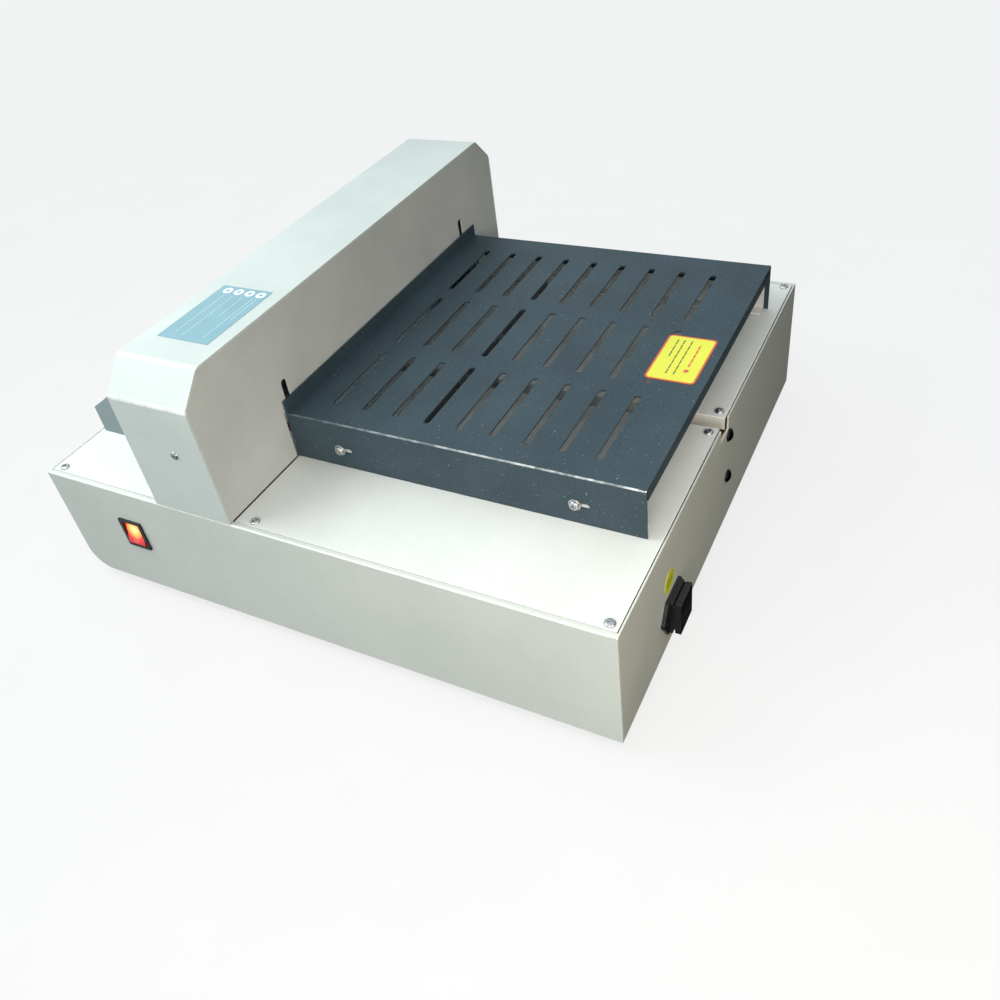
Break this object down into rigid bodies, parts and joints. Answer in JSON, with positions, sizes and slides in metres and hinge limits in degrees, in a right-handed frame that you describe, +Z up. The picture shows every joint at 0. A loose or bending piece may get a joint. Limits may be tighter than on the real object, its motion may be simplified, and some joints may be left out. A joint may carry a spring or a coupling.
{
  "type": "electric paper cutter",
  "caption": "Desktop electric paper cutter with a full-width hood, slotted rear safety cover, motor-driven knife, screw clamp and back gauge on a lead screw.",
  "frame": {"origin": "on the floor under the centre of the whole machine's bounding box", "axes": "+X across the machine towards the side with the rocker switch, -Y the operator's side, +Z up"},
  "size_m": [0.4849, 0.59, 0.2553],
  "materials": {
    "panel_paint": "fine powder coat, satin",
    "table_paint": "smooth light powder coat",
    "hood_paint": "satin enamel",
    "hood_rear_paint": "fine textured powder coat",
    "cover_paint": "coarse textured powder coat",
    "console_paint": "satin",
    "plate_steel": "zinc plated sheet",
    "machined_steel": "ground and oiled",
    "blade_steel": "ground bright",
    "bright_screws": "bright zinc",
    "cast_frame": "machined casting",
    "clamp_alloy": "machined",
    "gauge_alloy": "anodised",
    "bronze": "turned bronze",
    "gear_housing": "hammered grey",
    "motor_case": "black enamel",
    "feet_rubber": "matt",
    "stick_plastic": "moulded",
    "guard_clear": "clear polycarbonate",
    "label_film": "printed film",
    "display_black": "gloss",
    "key_blue": "gloss",
    "key_grey": "gloss",
    "button_green": "gloss",
    "stop_red": "gloss",
    "stop_yellow": "gloss",
    "rocker_red": "clear red, lit",
    "black_plastic": "moulded",
    "bolt_black": "black oxide",
    "board_green": "lacquered laminate",
    "wire_cover": "smooth"
  },
  "bodies": {
    "machine": {"bottom_plate": "plate_steel", "front_panel": "panel_paint", "side_panel_right": "panel_paint", "side_panel_left": "panel_paint", "rear_panel": "panel_paint", "rubber_feet": "feet_rubber", "front_table": "table_paint", "rear_table_right": "table_paint", "rear_table_left": "table_paint", "table_screws": "bright_screws", "table_bed": "machined_steel", "cutting_stick": "stick_plastic", "cheek_right": "cast_frame", "cheek_left": "cast_frame", "cross_beam": "machined_steel", "hood_cover": "hood_paint", "hood_front_plate": "hood_paint", "hood_rear_plate": "hood_rear_paint", "hood_screws": "bright_screws", "control_console": "console_paint", "display_window": "display_black", "stop_collar": "stop_yellow", "guard_pin": "machined_steel", "rear_cover": "cover_paint", "cover_brackets": "table_paint", "cover_screws": "bright_screws", "labels": "label_film", "switch_bezel": "black_plastic", "power_inlet": "black_plastic", "inlet_pins": "bright_screws", "fuse_drawer": "black_plastic", "rear_bolts": "bolt_black", "shaft_bearings": "bronze", "worm_gearbox": "gear_housing", "drive_motor": "motor_case", "clamp_bridge": "machined_steel", "clamp_motor": "motor_case", "guide_rod": "machined_steel", "screw_bearings": "bronze", "control_board": "board_green", "wiring_loom": "wire_cover"},
    "knife": {"knife_carrier": "machined_steel", "knife_blade": "blade_steel", "drive_racks": "machined_steel"},
    "drive_shaft_body": {"drive_shaft": "machined_steel"},
    "clamp": {"clamp_beam": "clamp_alloy"},
    "clamp_screw_body": {"clamp_screw": "machined_steel"},
    "clamp_pinion": {"motor_pinion": "bronze"},
    "gauge_screw": {"lead_screw": "machined_steel", "hand_wheel": "black_plastic"},
    "gauge": {"gauge_carriage": "cast_frame", "back_gauge": "gauge_alloy"},
    "guard": {"throat_guard": "guard_clear"},
    "forward_key": {"key_forward": "key_blue"},
    "back_key": {"key_back": "key_blue"},
    "clamp_key": {"key_clamp": "key_grey"},
    "right_cut_button": {"cut_button_right": "button_green"},
    "left_cut_button": {"cut_button_left": "button_green"},
    "stop_head": {"stop_button": "stop_red"},
    "rocker": {"power_rocker": "rocker_red"}
  },
  "joints": [
    {"name": "knife_drop", "type": "slide", "parent": "machine", "child": "knife", "axis": [0, 0, -1], "range_m": [0, 0.0455]},
    {"name": "drive_turn", "type": "hinge", "parent": "machine", "child": "drive_shaft_body", "pos_m": [-0.00095, -0.1015, 0.07], "axis": [1, 0, 0], "range_deg": [-173.8, 0]},
    {"name": "clamp_drop", "type": "slide", "parent": "machine", "child": "clamp", "axis": [0, 0, -1], "range_m": [0, 0.042]},
    {"name": "clamp_screw_turn", "type": "hinge", "parent": "machine", "child": "clamp_screw_body", "pos_m": [-0.02045, -0.058, 0.2], "axis": [0, 0, 1], "range_deg": [0, 2520]},
    {"name": "clamp_pinion_turn", "type": "hinge", "parent": "machine", "child": "clamp_pinion", "pos_m": [-0.00275, -0.058, 0.24], "axis": [0, 0, 1], "range_deg": [-6721, 0]},
    {"name": "gauge_travel", "type": "slide", "parent": "machine", "child": "gauge", "axis": [0, 1, 0], "range_m": [-0.075, 0.175]},
    {"name": "gauge_screw_turn", "type": "hinge", "parent": "machine", "child": "gauge_screw", "pos_m": [-0.00095, -0.001, 0.0985], "axis": [0, 1, 0], "range_deg": [-2700, 6300]},
    {"name": "guard_swing", "type": "hinge", "parent": "machine", "child": "guard", "pos_m": [-0.00095, -0.11, 0.188], "axis": [1, 0, 0], "range_deg": [-85, 0]},
    {"name": "forward_key_press", "type": "slide", "parent": "machine", "child": "forward_key", "axis": [0, 0.5441, -0.839], "range_m": [0, 0.0015], "stiffness_N_per_m": 400},
    {"name": "back_key_press", "type": "slide", "parent": "machine", "child": "back_key", "axis": [0, 0.5441, -0.839], "range_m": [0, 0.0015], "stiffness_N_per_m": 400},
    {"name": "clamp_key_press", "type": "slide", "parent": "machine", "child": "clamp_key", "axis": [0, 0.5441, -0.839], "range_m": [0, 0.0015], "stiffness_N_per_m": 400},
    {"name": "right_cut_press", "type": "slide", "parent": "machine", "child": "right_cut_button", "axis": [0, 1, 0], "range_m": [0, 0.003], "stiffness_N_per_m": 400},
    {"name": "left_cut_press", "type": "slide", "parent": "machine", "child": "left_cut_button", "axis": [0, 1, 0], "range_m": [0, 0.003], "stiffness_N_per_m": 400},
    {"name": "stop_press", "type": "slide", "parent": "machine", "child": "stop_head", "axis": [0, 1, 0], "range_m": [0, 0.005], "stiffness_N_per_m": 600},
    {"name": "rocker_tilt", "type": "hinge", "parent": "machine", "child": "rocker", "pos_m": [0.23505, -0.167, 0.075], "axis": [0, 1, 0], "range_deg": [0, 21.5]}
  ],
  "couplings": [
    {"joint": "drive_turn", "follows": "knife_drop", "rad_per_m": -66.667},
    {"joint": "clamp_screw_turn", "follows": "clamp_drop", "rad_per_m": 1047.2},
    {"joint": "clamp_pinion_turn", "follows": "clamp_drop", "rad_per_m": -2792.5},
    {"joint": "gauge_screw_turn", "follows": "gauge_travel", "rad_per_m": 628.31}
  ]
}
